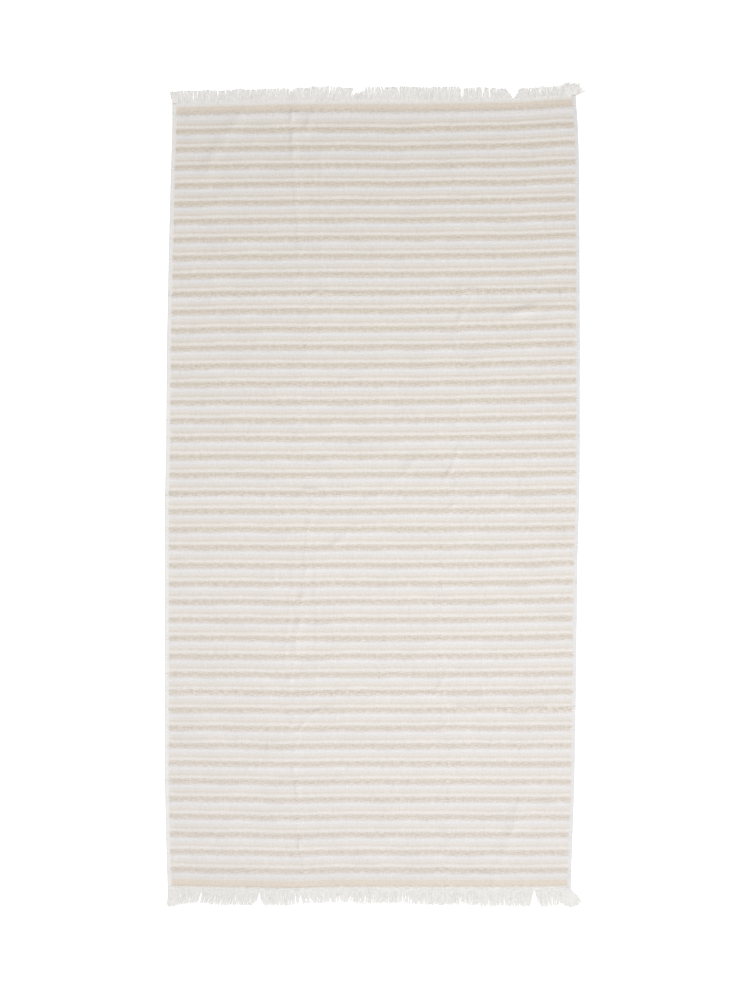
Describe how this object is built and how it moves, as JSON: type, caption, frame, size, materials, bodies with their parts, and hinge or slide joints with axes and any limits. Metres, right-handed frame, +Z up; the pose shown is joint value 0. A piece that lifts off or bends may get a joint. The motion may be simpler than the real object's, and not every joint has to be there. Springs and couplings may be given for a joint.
{
  "type": "bath sheet",
  "caption": "Large rectangular bath towel with raised ribs across it, hemmed sides and a short fringe at both ends, lying opened out and flat.",
  "frame": {"origin": "bottom centre of the sheet's box, on the surface that it lies on", "axes": "+X across the sheet, +Y along it towards the end that is at the top of the picture, +Z up out of the surface"},
  "size_m": [0.912, 1.7896, 0.0069],
  "materials": {
    "towel_cloth": "soft ribbed towelling in off-white and beige stripes, matt",
    "fringe_yarn": "soft off-white cotton yarn, matt"
  },
  "bodies": {
    "root": {"towel_cloth": "towel_cloth", "fringe_top": "fringe_yarn", "fringe_bottom": "fringe_yarn"}
  },
  "joints": []
}
